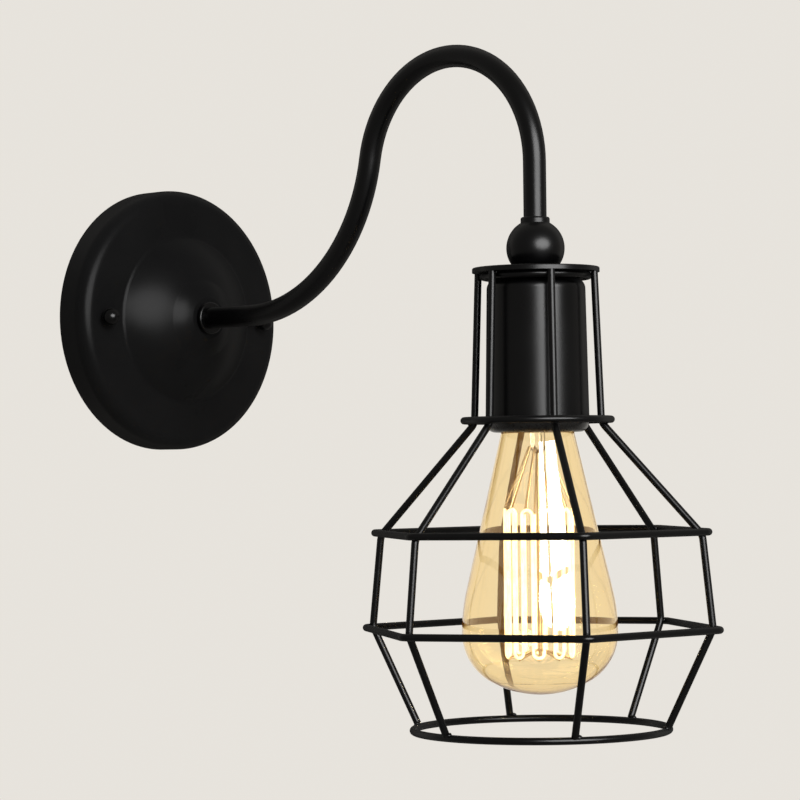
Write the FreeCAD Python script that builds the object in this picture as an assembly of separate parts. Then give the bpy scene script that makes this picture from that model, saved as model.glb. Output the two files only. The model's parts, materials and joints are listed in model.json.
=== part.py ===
"""Cage wall light: round canopy, gooseneck arm, ball coupling, wire cage and a screw-in bulb.

Millimetres. The origin is the centre of the canopy's rear rim, on the wall. +Z is up, +X is
to the right of somebody facing the wall, and the lamp reaches out from the wall along -Y.
"""
import FreeCAD
import Part
import math
import os

V = FreeCAD.Vector
UP = V(0, 0, 1)
DOWN = V(0, 0, -1)
OUT = V(0, -1, 0)         # away from the wall
BACK = V(0, 1, 0)         # towards the wall

# ---- fits ------------------------------------------------------------------------------------
BRAZE_GAP = 0.05          # radial gap of a brazed or screwed joint
WELD_GAP = 0.05           # gap left between two welded wires
SLIP_GAP = 0.3            # gap between pieces that only pass each other
BULB_GAP = 0.3            # gap between the bulb's cap and the parts that hold it

# ---- canopy: a pressed steel cover with a dome and a nose ------------------------------------
CANOPY_RADIUS = 60.0
CANOPY_SHEET = 1.2
RIM_DEPTH = 16.0          # distance of the face's outer corner from the wall
RIM_ROUND = 6.3
FACE_SLOPE = 5.8          # degrees, the face rises towards the dome
DOME_RADIUS = 57.0        # spherical radius of the dome
DOME_DEPTH = 32.7         # distance of the dome's pole from the wall
DOME_FILLET = 3.0
NOSE_RADIUS = 33.0        # spherical radius of the nose
NOSE_RISE = 2.4           # height of the nose's pole above the dome's pole
NOSE_FLAT = 9.5           # radius of the flat seat of the arm's collar
NOSE_FILLET = 3.0

# ---- bracket on the wall ---------------------------------------------------------------------
BRACKET_SHEET = 2.0
BRACKET_WIDTH = 18.0
BRACKET_END = 55.0        # half length of the strap
BRACKET_FLAT = 38.0       # half length of the stretch that lies on the wall
BRACKET_RAMP = 4.0        # length and depth of the step to the raised ends
BRACKET_CORNER = 4.0
BRACKET_MITRE = 1.0       # how far the step's front corners lie behind its rear ones
BAR_HALF = 36.0           # half height of the upright bar
BAR_WIDTH = 20.0
CABLE_HOLE_RADIUS = 8.0
SLOT_OFFSET = 30.0        # slot centres from the middle
SLOT_LENGTH = 12.0
SLOT_HALF_WIDTH = 2.25

# ---- canopy fixings --------------------------------------------------------------------------
STUD_OFFSET = 47.0
STUD_RADIUS = 2.0
STUD_HEAD_RADIUS = 3.5
STUD_HEAD_HEIGHT = 2.2
STUD_HOLE_GAP = 0.3
STUD_NUT_FLATS = 7.0
STUD_NUT_HEIGHT = 2.4
BALL_NUT_RADIUS = 4.0
BALL_NUT_SEAT = 3.0       # distance of the ball nut's centre above its flat
BALL_NUT_BORE = 4.6       # depth of its blind thread

# ---- mains terminal and earth ----------------------------------------------------------------
BLOCK_TOP = -15.0
BLOCK_HEIGHT = 17.0
BLOCK_HALF_WIDTH = 11.5
BLOCK_BASE = 4.0
BLOCK_DEPTH = 13.0
BARREL_OFFSET = 6.5
BARREL_HALF_WIDTH = 3.6
BARREL_ROUND = 2.0
CLAMP_RADIUS = 2.6
CLAMP_BORE = 1.5
CLAMP_DEPTH = 7.5         # clamp axis above the bracket's front face
CLAMP_END = 1.0           # clamp ends inside the block
CLAMP_SCREW_RADIUS = 1.25
CLAMP_SCREW_PITCH = 8.0
CLAMP_SCREW_SINK = 1.0
BLOCK_SCREW_RADIUS = 1.5
BLOCK_SCREW_HEAD_HEIGHT = 1.8
EARTH_HEIGHT = 25.0
EARTH_HEAD_RADIUS = 3.6
EARTH_HEAD_HEIGHT = 2.4
EARTH_WASHER_RADIUS = 4.6
EARTH_WASHER = 0.8
EARTH_GRIP = 1.6          # room for the earth wire under the washer

# ---- arm -------------------------------------------------------------------------------------
ARM_RADIUS = 4.75
ARM_BORE = 3.75
ARM_REACH = 235.9         # distance of the lamp's axis from the wall
ARM_LOW_BEND = 79.0
ARM_TOP_BEND = 48.4
ARM_TOP_CENTRE = 56.0     # height of the top bend's centre
COLLAR_RADIUS = 7.3
COLLAR_FLANGE = 2.5
COLLAR_ROUND = 0.8
SHANK_RADIUS = 6.0
SHANK_LENGTH = 9.0
ARM_WASHER_RADIUS = 9.0
ARM_WASHER = 1.0
ARM_NUT_FLATS = 16.0
ARM_NUT_HEIGHT = 4.0

# ---- ball, nipple and cage disc --------------------------------------------------------------
BALL_RADIUS = 12.0
BALL_HEIGHT = 20.4        # height of the ball's centre
BALL_NECK_RADIUS = 6.0
BALL_NECK_TOP = 33.2
BALL_NECK_ROUND = 0.9
BALL_WEB_TOP = 22.6
BALL_WEB = 1.6
NIPPLE_RADIUS = 5.0
NIPPLE_BORE = 3.8
DISC_TOP = 12.4
DISC_SHEET = 2.0
DISC_RADIUS = 26.2
DISC_ROUND = 0.6
CAGE_NUT_FLATS = 17.0
CAGE_NUT_HEIGHT = 2.4

# ---- cage ------------------------------------------------------------------------------------
WIRE_RADIUS = 1.5
WIRE_COUNT = 6
WIRE_AZIMUTH = -33.5      # degrees of the first wire from the outward direction
WIRE_BEND = 6.0
WIRE_TOP_RADIUS = 24.7
NECK_RADIUS = 27.0
NECK_HEIGHT = -51.5
UPPER_RADIUS = 68.3
UPPER_HEIGHT = -97.4
LOWER_RADIUS = 72.2
LOWER_HEIGHT = -135.3
MOUTH_RADIUS = 52.4
MOUTH_HEIGHT = -176.9
RING_BAR = 1.5
RING_CORNER = 4.5

# ---- cup and lampholder ----------------------------------------------------------------------
CUP_SHEET = 1.0
CUP_TOP_RADIUS = 20.3
CUP_MOUTH_RADIUS = 21.3
CUP_MOUTH = -49.0
CUP_SHOULDER = 4.5
CUP_WASHER_RADIUS = 10.0
CUP_WASHER = 1.0
HOLDER_RADIUS = 18.4
HOLDER_WALL = 2.0
HOLDER_ROOF = 4.5
HOLDER_ROUND = 3.0
CAP_JOINT = -14.0         # height where the holder's cap meets its skirt
SPIGOT_HEIGHT = 4.0
SKIRT_BORE = 14.6
SEAT_RADIUS = 15.3
SEAT_HEIGHT = -15.0
LIP_RADIUS = 21.0
LIP_TOP = -49.2
LIP_ROUND_TOP = -51.5
LIP_BOTTOM = -55.2
LIP_FLARE = 16.6
LIP_FLARE_HEIGHT = 4.2
INSERT_TOP = -12.0
INSERT_BOTTOM = -18.5
SHELL_SHEET = 0.4
SHELL_BOTTOM = -46.0
SHELL_HOLE = 9.0
TONGUE_WIDTH = 6.0
TONGUE_SHEET = 0.5
TONGUE_HALF = 7.0
TERMINAL_OFFSET = 9.5
TERMINAL_WIDTH = 5.0
TERMINAL_DEPTH = 7.0
TERMINAL_HEIGHT = 6.5
TERMINAL_HOLE = 0.6
TERMINAL_HOLE_DEPTH = 5.0
HOLDER_SCREW_RADIUS = 1.3
HOLDER_SCREW_HEAD = 2.2
HOLDER_SCREW_HEAD_HEIGHT = 1.5

# ---- leads -----------------------------------------------------------------------------------
LEAD_RADIUS = 1.1
LEAD_CORE = 0.5
LEAD_OFFSET = 1.35
LEAD_BARE = 5.0
LEAD_BACK_BEND = 6.0
LEAD_HEAD_BEND = 3.2
LEAD_SPREAD_TOP = 1.0     # height where a lead turns out to its terminal
LEAD_SPREAD_LOW = -3.2

# ---- bulb ------------------------------------------------------------------------------------
BULB_TIP = -22.0
BULB_WIDEST = 32.0
BULB_WALL = 0.8
BULB_CAP_RADIUS = 13.2
BULB_CAP_SHEET = 0.4
BULB_CAP_TOP = -27.3
BULB_CAP_SHOULDER = -30.0
BULB_CAP_FLARE = -45.0
BULB_CAP_RIM = -48.2
BULB_CAP_RIM_RADIUS = 13.9
BULB_BUTTON_RADIUS = 4.4
BULB_BUTTON_HEIGHT = 1.2
INSULATOR_RADIUS = 8.4
NECK_GLASS_RADIUS = 12.6
NECK_GLASS_TOP = -36.0
CONE_TOP = -48.0
CONE_TOP_RADIUS = 13.3
CONE_SLOPE = 13.1         # degrees
SHOULDER_ARC = 77.0       # large arc from the cone to the widest circle
BELLY_ARC = 23.0          # arc below the widest circle
BELLY_TURN = 60.0         # degrees turned before the flatter end
STEM_FLARE_TOP = -37.0
STEM_FLARE_LOW = -50.0
STEM_FLARE_EDGE = 1.0     # height of the flare's rim
STEM_FLARE_WAIST = 5.1    # radius half way down the flare
STEM_RADIUS = 3.2
STEM_END = -64.0
STRAND_COUNT = 20
STRAND_AZIMUTH = 157.0    # degrees of the first run from the outward direction
STRAND_CIRCLE = 14.0
STRAND_RADIUS = 0.6
STRAND_TOP = -87.0
STRAND_LOW = -147.0
SUPPORT_RADIUS = 0.35
SUPPORT_ROOT = -61.0
SUPPORT_HUB = -144.0
CENTRE_ROD_RADIUS = 0.8

# ---- heights and depths that follow ----------------------------------------------------------
NOSE_DEPTH = DOME_DEPTH + NOSE_RISE  # distance of the nose's pole from the wall
DISC_BOTTOM = DISC_TOP - DISC_SHEET
CUP_TOP = DISC_BOTTOM - CAGE_NUT_HEIGHT
HOLDER_TOP = CUP_TOP - CUP_SHEET - CUP_WASHER
HOLDER_CEILING = HOLDER_TOP - HOLDER_ROOF
ARM_END = BALL_WEB_TOP + WELD_GAP
NOSE_SEAT = NOSE_DEPTH - NOSE_RADIUS + math.sqrt(NOSE_RADIUS ** 2 - NOSE_FLAT ** 2)
SHANK_END = NOSE_SEAT - SHANK_LENGTH
BRACKET_FRONT = BRACKET_SHEET
END_REAR = BRACKET_RAMP
END_FRONT = BRACKET_RAMP + BRACKET_SHEET
FACE_RISE = math.tan(math.radians(FACE_SLOPE))
ARM_LOW_OUT = ARM_REACH - ARM_TOP_BEND - math.sqrt(
    (ARM_LOW_BEND + ARM_TOP_BEND) ** 2 - (ARM_LOW_BEND - ARM_TOP_CENTRE) ** 2)


# ---- small tools -----------------------------------------------------------------------------
def wall_place(radius, out):
    """A point of a profile turned about the canopy's axis."""
    return V(radius, -out, 0)


def lamp_place(radius, height):
    """A point of a profile turned about the lamp's upright axis."""
    return V(radius, -ARM_REACH, height)


def arm_place(out, height, across=0.0):
    """A point of the arm's upright plane, or beside it."""
    return V(across, -out, height)


def turned(place, start, steps):
    """Revolve a closed profile. A step is a point, or a pair (point on the arc, end of the arc)."""
    edges = []
    here = place(*start)
    for step in steps:
        if isinstance(step[0], tuple):
            middle, end = place(*step[0]), place(*step[1])
            edges.append(Part.Arc(here, middle, end).toShape())
        else:
            end = place(*step)
            edges.append(Part.LineSegment(here, end).toShape())
        here = end
    face = Part.Face(Part.Wire(edges + closing(here, place(*start))))
    foot = place(0, 0)
    return face.revolve(foot, place(0, 1) - foot, 360)


def closing(here, start):
    """The last edge of a profile, where its steps don't end at its start."""
    if here.distanceToPoint(start) < 1e-6:
        return []
    return [Part.LineSegment(here, start).toShape()]


def arc_middle(centre, radius, start_angle, end_angle):
    """The middle of an arc, for angles in degrees."""
    angle = math.radians((start_angle + end_angle) / 2)
    return (centre[0] + radius * math.cos(angle), centre[1] + radius * math.sin(angle))


def rounded(shape, radius, circle_radius, centre):
    """Fillet the circular edges of one radius about one centre."""
    edges = [edge for edge in shape.Edges
             if isinstance(edge.Curve, Part.Circle)
             and abs(edge.Curve.Radius - circle_radius) < 0.01
             and edge.Curve.Center.distanceToPoint(centre) < 0.01]
    return shape.makeFillet(radius, edges)


def cylinder(radius, foot, direction, length):
    return Part.makeCylinder(radius, length, foot, direction)


def tube(outer, inner, foot, direction, length):
    return cylinder(outer, foot, direction, length).cut(cylinder(inner, foot, direction, length))


def box(low, high):
    """A box from two opposite corners."""
    corner = V(min(low.x, high.x), min(low.y, high.y), min(low.z, high.z))
    size = high - low
    return Part.makeBox(abs(size.x), abs(size.y), abs(size.z), corner)


def hex_nut(flats, height, hole, foot, direction):
    """A hexagon nut with its corners turned off on both faces."""
    corner = flats / math.sqrt(3)
    points = [V(corner * math.cos(math.radians(60 * i)), corner * math.sin(math.radians(60 * i)), 0)
              for i in range(7)]
    nut = Part.Face(Part.makePolygon(points)).extrude(V(0, 0, height))
    bevel = (corner - flats / 2) * 0.9
    start = V(flats / 2 - bevel * 0.1, 0, 0)
    side = [start, V(corner, 0, bevel * 0.6), V(corner, 0, height - bevel * 0.6),
            V(start.x, 0, height), V(0, 0, height), V(0, 0, 0), start]
    dressed = Part.Face(Part.makePolygon(side)).revolve(V(0, 0, 0), UP, 360)
    nut = nut.common(dressed).cut(Part.makeCylinder(hole, height))
    nut.Placement = FreeCAD.Placement(foot, FreeCAD.Rotation(UP, direction))
    return nut


def rounded_path(points, radius):
    """Straight runs joined by tangent arcs of one radius, or of one radius for each corner."""
    radii = radius if isinstance(radius, list) else [radius] * (len(points) - 2)
    edges = []
    here = points[0]
    for before, corner, after, bend in zip(points, points[1:], points[2:], radii):
        back = (before - corner).normalize()
        ahead = (after - corner).normalize()
        half = back.getAngle(ahead) / 2
        reach = bend / math.tan(half)
        middle_way = (back + ahead).normalize()
        start = corner + back * reach
        end = corner + ahead * reach
        crown = corner + middle_way * (bend / math.sin(half) - bend)
        edges.append(Part.LineSegment(here, start).toShape())
        edges.append(Part.Arc(start, crown, end).toShape())
        here = end
    edges.append(Part.LineSegment(here, points[-1]).toShape())
    return Part.Wire(edges)


def swept(path, radius):
    """A round bar along a path."""
    first = path.OrderedEdges[0]
    start = first.valueAt(first.FirstParameter)
    heading = first.tangentAt(first.FirstParameter)
    section = Part.Wire(Part.Circle(start, heading, radius).toShape())
    return path.makePipeShell([section], True, False)


def around_lamp(azimuth):
    """The horizontal direction at an azimuth from the outward one, about the lamp's axis."""
    angle = math.radians(azimuth)
    return V(math.sin(angle), -math.cos(angle), 0)


def lamp_point(azimuth, radius, height):
    return V(0, -ARM_REACH, height) + around_lamp(azimuth) * radius


def save(name, shape):
    shape.exportStep("parts/%s.step" % name)


def group(shapes):
    """Equal pieces that share a node."""
    return Part.makeCompound(shapes)


# ---- canopy ----------------------------------------------------------------------------------
def face_depth(radius):
    """Distance of the canopy's face from the wall."""
    return RIM_DEPTH + FACE_RISE * (CANOPY_RADIUS - radius)


def canopy_form(skin):
    """The solid inside the canopy's surface, moved in by a skin."""
    rim = CANOPY_RADIUS - skin
    drop = skin / math.cos(math.radians(FACE_SLOPE))
    dome = DOME_RADIUS - skin
    dome_centre = DOME_DEPTH - DOME_RADIUS
    nose = NOSE_RADIUS - skin
    nose_centre = NOSE_DEPTH - NOSE_RADIUS
    seat = NOSE_SEAT - skin
    # where the sloping face meets the dome
    lift = face_depth(0) - drop - dome_centre
    square = 1 + FACE_RISE ** 2
    root = math.sqrt((FACE_RISE * lift) ** 2 - square * (lift ** 2 - dome ** 2))
    dome_foot = (FACE_RISE * lift + root) / square
    # where the dome meets the nose
    apart = nose_centre - dome_centre
    nose_out = dome_centre + (dome ** 2 - nose ** 2 + apart ** 2) / (2 * apart)
    nose_foot = math.sqrt(dome ** 2 - (nose_out - dome_centre) ** 2)
    seat_radius = math.sqrt(nose ** 2 - (seat - nose_centre) ** 2)

    def on_dome(radius):
        return (radius, dome_centre + math.sqrt(dome ** 2 - radius ** 2))

    def on_nose(radius):
        return (radius, nose_centre + math.sqrt(nose ** 2 - radius ** 2))

    form = turned(wall_place, (0, 0), [
        (rim, 0),
        (rim, face_depth(rim) - drop),
        on_dome(dome_foot),
        (on_dome((dome_foot + nose_foot) / 2), on_dome(nose_foot)),
        (on_nose((nose_foot + seat_radius) / 2), (seat_radius, seat)),
        (0, seat)])
    form = rounded(form, RIM_ROUND - skin, rim, V(0, drop - face_depth(rim), 0))
    form = rounded(form, DOME_FILLET + skin, dome_foot, V(0, -on_dome(dome_foot)[1], 0))
    return rounded(form, NOSE_FILLET + skin, nose_foot, V(0, -nose_out, 0))


def canopy():
    shell = canopy_form(0).cut(canopy_form(CANOPY_SHEET))
    shell = shell.cut(cylinder(SHANK_RADIUS + SLIP_GAP, V(0, 0, 0), OUT, NOSE_DEPTH))
    for side in (-1, 1):
        foot = V(side * STUD_OFFSET, 0, 0)
        shell = shell.cut(cylinder(STUD_RADIUS + STUD_HOLE_GAP, foot, OUT, NOSE_DEPTH))
    return shell


# ---- bracket and canopy fixings --------------------------------------------------------------
def wall_bracket():
    ramp_end = BRACKET_FLAT + BRACKET_RAMP
    right = [V(BRACKET_FLAT, 0, 0), V(ramp_end, -END_REAR, 0), V(BRACKET_END, -END_REAR, 0),
             V(BRACKET_END, -END_FRONT, 0), V(ramp_end - BRACKET_MITRE, -END_FRONT, 0),
             V(BRACKET_FLAT - BRACKET_MITRE, -BRACKET_FRONT, 0)]
    left = [V(-point.x, point.y, 0) for point in reversed(right)]
    side = Part.makePolygon(right + left + right[:1])
    side.translate(V(0, 0, -BRACKET_WIDTH / 2))
    strap = Part.Face(side).extrude(V(0, 0, BRACKET_WIDTH))
    corners = [edge for edge in strap.Edges
               if abs(abs(edge.CenterOfMass.x) - BRACKET_END) < 0.01 and edge.Length < BRACKET_SHEET + 0.1]
    strap = strap.makeFillet(BRACKET_CORNER, corners)
    bar = box(V(-BAR_WIDTH / 2, 0, -BAR_HALF), V(BAR_WIDTH / 2, -BRACKET_FRONT, BAR_HALF))
    ends = [edge for edge in bar.Edges if abs(edge.Length - BRACKET_SHEET) < 0.01]
    plate = strap.fuse(bar.makeFillet(BRACKET_CORNER, ends)).removeSplitter()
    holes = [cylinder(CABLE_HOLE_RADIUS, V(0, 0, 0), OUT, END_FRONT)]
    for side_sign in (-1, 1):
        stud_place = V(side_sign * STUD_OFFSET, 0, 0)
        holes.append(cylinder(STUD_RADIUS + BRAZE_GAP, stud_place, OUT, END_FRONT))
        holes.append(slot(side_sign * SLOT_OFFSET))
    holes.append(cylinder(STUD_RADIUS + BRAZE_GAP, V(0, 0, EARTH_HEIGHT), OUT, END_FRONT))
    block_middle = V(0, 0, BLOCK_TOP - BLOCK_HEIGHT / 2)
    holes.append(cylinder(BLOCK_SCREW_RADIUS + BRAZE_GAP, block_middle, OUT, END_FRONT))
    for hole in holes:
        plate = plate.cut(hole)
    return plate


def slot(middle):
    """The cutter of one screw slot in the bracket."""
    reach = SLOT_LENGTH / 2 - SLOT_HALF_WIDTH
    cutter = box(V(middle - reach, 0, -SLOT_HALF_WIDTH), V(middle + reach, -END_FRONT, SLOT_HALF_WIDTH))
    for end in (-reach, reach):
        cutter = cutter.fuse(cylinder(SLOT_HALF_WIDTH, V(middle + end, 0, 0), OUT, END_FRONT))
    return cutter.removeSplitter()


def ball_nut_seat():
    """Distance from the wall at which a ball nut's flat meets the sloping face."""
    flat = math.sqrt(BALL_NUT_RADIUS ** 2 - BALL_NUT_SEAT ** 2)
    return face_depth(STUD_OFFSET - flat)


def bracket_stud(side):
    foot = V(side * STUD_OFFSET, -END_REAR, 0)
    end = ball_nut_seat() + BALL_NUT_BORE - SLIP_GAP
    head = cylinder(STUD_HEAD_RADIUS, foot, BACK, STUD_HEAD_HEIGHT)
    head = rounded(head, STUD_HEAD_HEIGHT / 3, STUD_HEAD_RADIUS, foot + V(0, STUD_HEAD_HEIGHT, 0))
    return head.fuse(cylinder(STUD_RADIUS, foot, OUT, end - END_REAR)).removeSplitter()


def stud_lock_nut(side):
    foot = V(side * STUD_OFFSET, -END_FRONT, 0)
    return hex_nut(STUD_NUT_FLATS, STUD_NUT_HEIGHT, STUD_RADIUS + BRAZE_GAP, foot, OUT)


def ball_nut(side):
    seat = ball_nut_seat()
    centre = V(side * STUD_OFFSET, -seat - BALL_NUT_SEAT, 0)
    ball = Part.makeSphere(BALL_NUT_RADIUS, centre)
    keep = box(V(centre.x - BALL_NUT_RADIUS, -seat, -BALL_NUT_RADIUS),
               V(centre.x + BALL_NUT_RADIUS, -seat - 2 * BALL_NUT_RADIUS, BALL_NUT_RADIUS))
    bore = cylinder(STUD_RADIUS + BRAZE_GAP, V(centre.x, -seat, 0), OUT, BALL_NUT_BORE)
    return ball.common(keep).cut(bore)


# ---- mains terminal and earth ----------------------------------------------------------------
def clamp_axis():
    """Distance of the terminal clamps' axis from the wall."""
    return BRACKET_FRONT + CLAMP_DEPTH


def clamp_screw_heights():
    middle = BLOCK_TOP - BLOCK_HEIGHT / 2
    return (middle - CLAMP_SCREW_PITCH / 2, middle + CLAMP_SCREW_PITCH / 2)


def clamp_screw_bores(radius, low, high):
    """Four round bores along Y, one for each clamp screw."""
    return [cylinder(radius, V(side * BARREL_OFFSET, -low, height), OUT, high - low)
            for side in (-1, 1) for height in clamp_screw_heights()]


def terminal_block():
    low = BLOCK_TOP - BLOCK_HEIGHT
    front = BRACKET_FRONT + BLOCK_DEPTH
    block = box(V(-BLOCK_HALF_WIDTH, -BRACKET_FRONT, low),
                V(BLOCK_HALF_WIDTH, -BRACKET_FRONT - BLOCK_BASE, BLOCK_TOP))
    for side in (-1, 1):
        middle = side * BARREL_OFFSET
        barrel = box(V(middle - BARREL_HALF_WIDTH, -BRACKET_FRONT, low),
                     V(middle + BARREL_HALF_WIDTH, -front, BLOCK_TOP))
        edges = [edge for edge in barrel.Edges
                 if abs(edge.CenterOfMass.y + front) < 0.01 and edge.Length > BLOCK_HEIGHT - 0.1]
        block = block.fuse(barrel.makeFillet(BARREL_ROUND, edges))
    block = block.removeSplitter()
    for side in (-1, 1):
        foot = V(side * BARREL_OFFSET, -clamp_axis(), low)
        block = block.cut(cylinder(CLAMP_RADIUS + BRAZE_GAP, foot, UP, BLOCK_HEIGHT))
    for bore in clamp_screw_bores(CLAMP_SCREW_RADIUS + SLIP_GAP, clamp_axis(), front):
        block = block.cut(bore)
    screw_hole = V(0, 0, BLOCK_TOP - BLOCK_HEIGHT / 2)
    return block.cut(cylinder(BLOCK_SCREW_RADIUS + SLIP_GAP, screw_hole, OUT, front))


def terminal_clamp(side):
    foot = V(side * BARREL_OFFSET, -clamp_axis(), BLOCK_TOP - BLOCK_HEIGHT + CLAMP_END)
    clamp = tube(CLAMP_RADIUS, CLAMP_BORE, foot, UP, BLOCK_HEIGHT - 2 * CLAMP_END)
    for bore in clamp_screw_bores(CLAMP_SCREW_RADIUS + BRAZE_GAP, clamp_axis(), clamp_axis() + CLAMP_RADIUS):
        clamp = clamp.cut(bore)
    return clamp


def terminal_screws():
    low = clamp_axis() + LEAD_CORE + WELD_GAP
    high = BRACKET_FRONT + BLOCK_DEPTH - CLAMP_SCREW_SINK
    return group(clamp_screw_bores(CLAMP_SCREW_RADIUS, low, high))


def block_screw():
    base = BRACKET_FRONT + BLOCK_BASE
    foot = V(0, -base, BLOCK_TOP - BLOCK_HEIGHT / 2)
    head_radius = BARREL_OFFSET - BARREL_HALF_WIDTH - SLIP_GAP
    head = cylinder(head_radius, foot, OUT, BLOCK_SCREW_HEAD_HEIGHT)
    shank = cylinder(BLOCK_SCREW_RADIUS, foot, BACK, base - SLIP_GAP)
    return head.fuse(shank).removeSplitter()


def earth_washer():
    foot = V(0, -BRACKET_FRONT - EARTH_GRIP, EARTH_HEIGHT)
    return tube(EARTH_WASHER_RADIUS, STUD_RADIUS + BRAZE_GAP, foot, OUT, EARTH_WASHER)


def earth_screw():
    seat = BRACKET_FRONT + EARTH_GRIP + EARTH_WASHER
    foot = V(0, -seat, EARTH_HEIGHT)
    head = cylinder(EARTH_HEAD_RADIUS, foot, OUT, EARTH_HEAD_HEIGHT)
    head = rounded(head, EARTH_HEAD_HEIGHT / 3, EARTH_HEAD_RADIUS, foot - V(0, EARTH_HEAD_HEIGHT, 0))
    shank = cylinder(STUD_RADIUS, foot, BACK, seat - SLIP_GAP)
    return head.fuse(shank).removeSplitter()


# ---- arm -------------------------------------------------------------------------------------
def arm_path(start_out, end_height, across=0.0):
    """The gooseneck's centreline: out from the wall, up, over and straight down to the head."""
    top_out = ARM_REACH - ARM_TOP_BEND
    lean = math.atan2(ARM_LOW_BEND - ARM_TOP_CENTRE, top_out - ARM_LOW_OUT)

    def low_arc(angle):
        return arm_place(ARM_LOW_OUT + ARM_LOW_BEND * math.cos(angle),
                         ARM_LOW_BEND + ARM_LOW_BEND * math.sin(angle), across)

    def top_arc(angle):
        return arm_place(top_out + ARM_TOP_BEND * math.cos(angle),
                         ARM_TOP_CENTRE + ARM_TOP_BEND * math.sin(angle), across)

    meeting = -lean
    low_middle = (-math.pi / 2 + meeting) / 2
    top_middle = (math.pi + meeting) / 2
    edges = [
        Part.LineSegment(arm_place(start_out, 0, across), low_arc(-math.pi / 2)).toShape(),
        Part.Arc(low_arc(-math.pi / 2), low_arc(low_middle), low_arc(meeting)).toShape(),
        Part.Arc(low_arc(meeting), top_arc(top_middle), top_arc(0)).toShape(),
        Part.LineSegment(top_arc(0), arm_place(ARM_REACH, end_height, across)).toShape()]
    return edges


def arm_tube():
    path = Part.Wire(arm_path(SHANK_END, ARM_END))
    return swept(path, ARM_RADIUS).cut(swept(path, ARM_BORE))


def arm_collar():
    flange = cylinder(COLLAR_RADIUS, wall_place(0, NOSE_SEAT), OUT, COLLAR_FLANGE)
    flange = rounded(flange, COLLAR_ROUND, COLLAR_RADIUS, wall_place(0, NOSE_SEAT + COLLAR_FLANGE))
    shank = cylinder(SHANK_RADIUS, wall_place(0, SHANK_END), OUT, SHANK_LENGTH)
    bore = cylinder(ARM_RADIUS + BRAZE_GAP, wall_place(0, 0), OUT, 2 * NOSE_DEPTH)
    return flange.fuse(shank).removeSplitter().cut(bore)


def arm_washer():
    foot = wall_place(0, NOSE_SEAT - CANOPY_SHEET - ARM_WASHER)
    return tube(ARM_WASHER_RADIUS, SHANK_RADIUS + BRAZE_GAP, foot, OUT, ARM_WASHER)


def arm_lock_nut():
    foot = wall_place(0, NOSE_SEAT - CANOPY_SHEET - ARM_WASHER)
    return hex_nut(ARM_NUT_FLATS, ARM_NUT_HEIGHT, SHANK_RADIUS + BRAZE_GAP, foot, BACK)


def lead(side):
    """An insulated lead from the mains terminal, through the arm, to the lampholder."""
    across = side * LEAD_OFFSET
    clamp_top = BLOCK_TOP - CLAMP_END
    back = clamp_axis()
    terminal = V(side * BARREL_OFFSET, -back, clamp_top)
    corner = arm_place(back, 0, across)
    rear = rounded_path([terminal, corner, arm_place(SHANK_END, 0, across)], LEAD_BACK_BEND)
    spread_top = arm_place(ARM_REACH, LEAD_SPREAD_TOP, across)
    spread_low = arm_place(ARM_REACH, LEAD_SPREAD_LOW, side * TERMINAL_OFFSET)
    terminal_top = INSERT_TOP + TERMINAL_HEIGHT
    foot = arm_place(ARM_REACH, terminal_top + WELD_GAP, side * TERMINAL_OFFSET)
    head = rounded_path([arm_place(ARM_REACH, ARM_END, across), spread_top, spread_low, foot], LEAD_HEAD_BEND)
    path = Part.Wire(rear.OrderedEdges + arm_path(SHANK_END, ARM_END, across) + head.OrderedEdges)
    sleeve = swept(path, LEAD_RADIUS)
    into_clamp = (terminal - corner).normalize()
    bare_rear = cylinder(LEAD_CORE, terminal, DOWN, LEAD_BARE + clamp_screw_reach())
    bare_head = cylinder(LEAD_CORE, foot, DOWN, LEAD_BARE - SLIP_GAP)
    knuckle = Part.makeSphere(LEAD_CORE, terminal - into_clamp * WELD_GAP)
    return sleeve.fuse([bare_rear, bare_head, knuckle]).removeSplitter()


def clamp_screw_reach():
    """How far below a clamp's top end its upper screw lies."""
    return BLOCK_TOP - CLAMP_END - clamp_screw_heights()[1] - LEAD_BARE / 2


# ---- ball, nipple and cage -------------------------------------------------------------------
def ball_coupling():
    centre = lamp_place(0, BALL_HEIGHT)
    ball = Part.makeSphere(BALL_RADIUS, centre)
    neck = cylinder(BALL_NECK_RADIUS, centre, UP, BALL_NECK_TOP - BALL_HEIGHT)
    neck = rounded(neck, BALL_NECK_ROUND, BALL_NECK_RADIUS, lamp_place(0, BALL_NECK_TOP))
    body = ball.fuse(neck).removeSplitter()
    size = 2 * BALL_RADIUS
    below = Part.makeBox(size, size, size, V(-BALL_RADIUS, -ARM_REACH - BALL_RADIUS, DISC_TOP - size))
    body = body.cut(below)
    body = body.cut(cylinder(ARM_RADIUS + BRAZE_GAP, lamp_place(0, BALL_WEB_TOP), UP, size))
    body = body.cut(cylinder(NIPPLE_BORE, lamp_place(0, DISC_TOP), UP, size))
    thread = BALL_WEB_TOP - BALL_WEB - DISC_TOP
    return body.cut(cylinder(NIPPLE_RADIUS + BRAZE_GAP, lamp_place(0, DISC_TOP), UP, thread))


def head_nipple():
    top = BALL_WEB_TOP - BALL_WEB - SLIP_GAP
    return tube(NIPPLE_RADIUS, NIPPLE_BORE, lamp_place(0, HOLDER_CEILING), UP, top - HOLDER_CEILING)


def cage_top_disc():
    disc = cylinder(DISC_RADIUS, lamp_place(0, DISC_BOTTOM), UP, DISC_SHEET)
    disc = rounded(disc, DISC_ROUND, DISC_RADIUS, lamp_place(0, DISC_TOP))
    return disc.cut(cylinder(NIPPLE_RADIUS + BRAZE_GAP, lamp_place(0, 0), UP, DISC_TOP))


def cage_lock_nut():
    return hex_nut(CAGE_NUT_FLATS, CAGE_NUT_HEIGHT, NIPPLE_RADIUS + BRAZE_GAP, lamp_place(0, CUP_TOP), UP)


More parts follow.
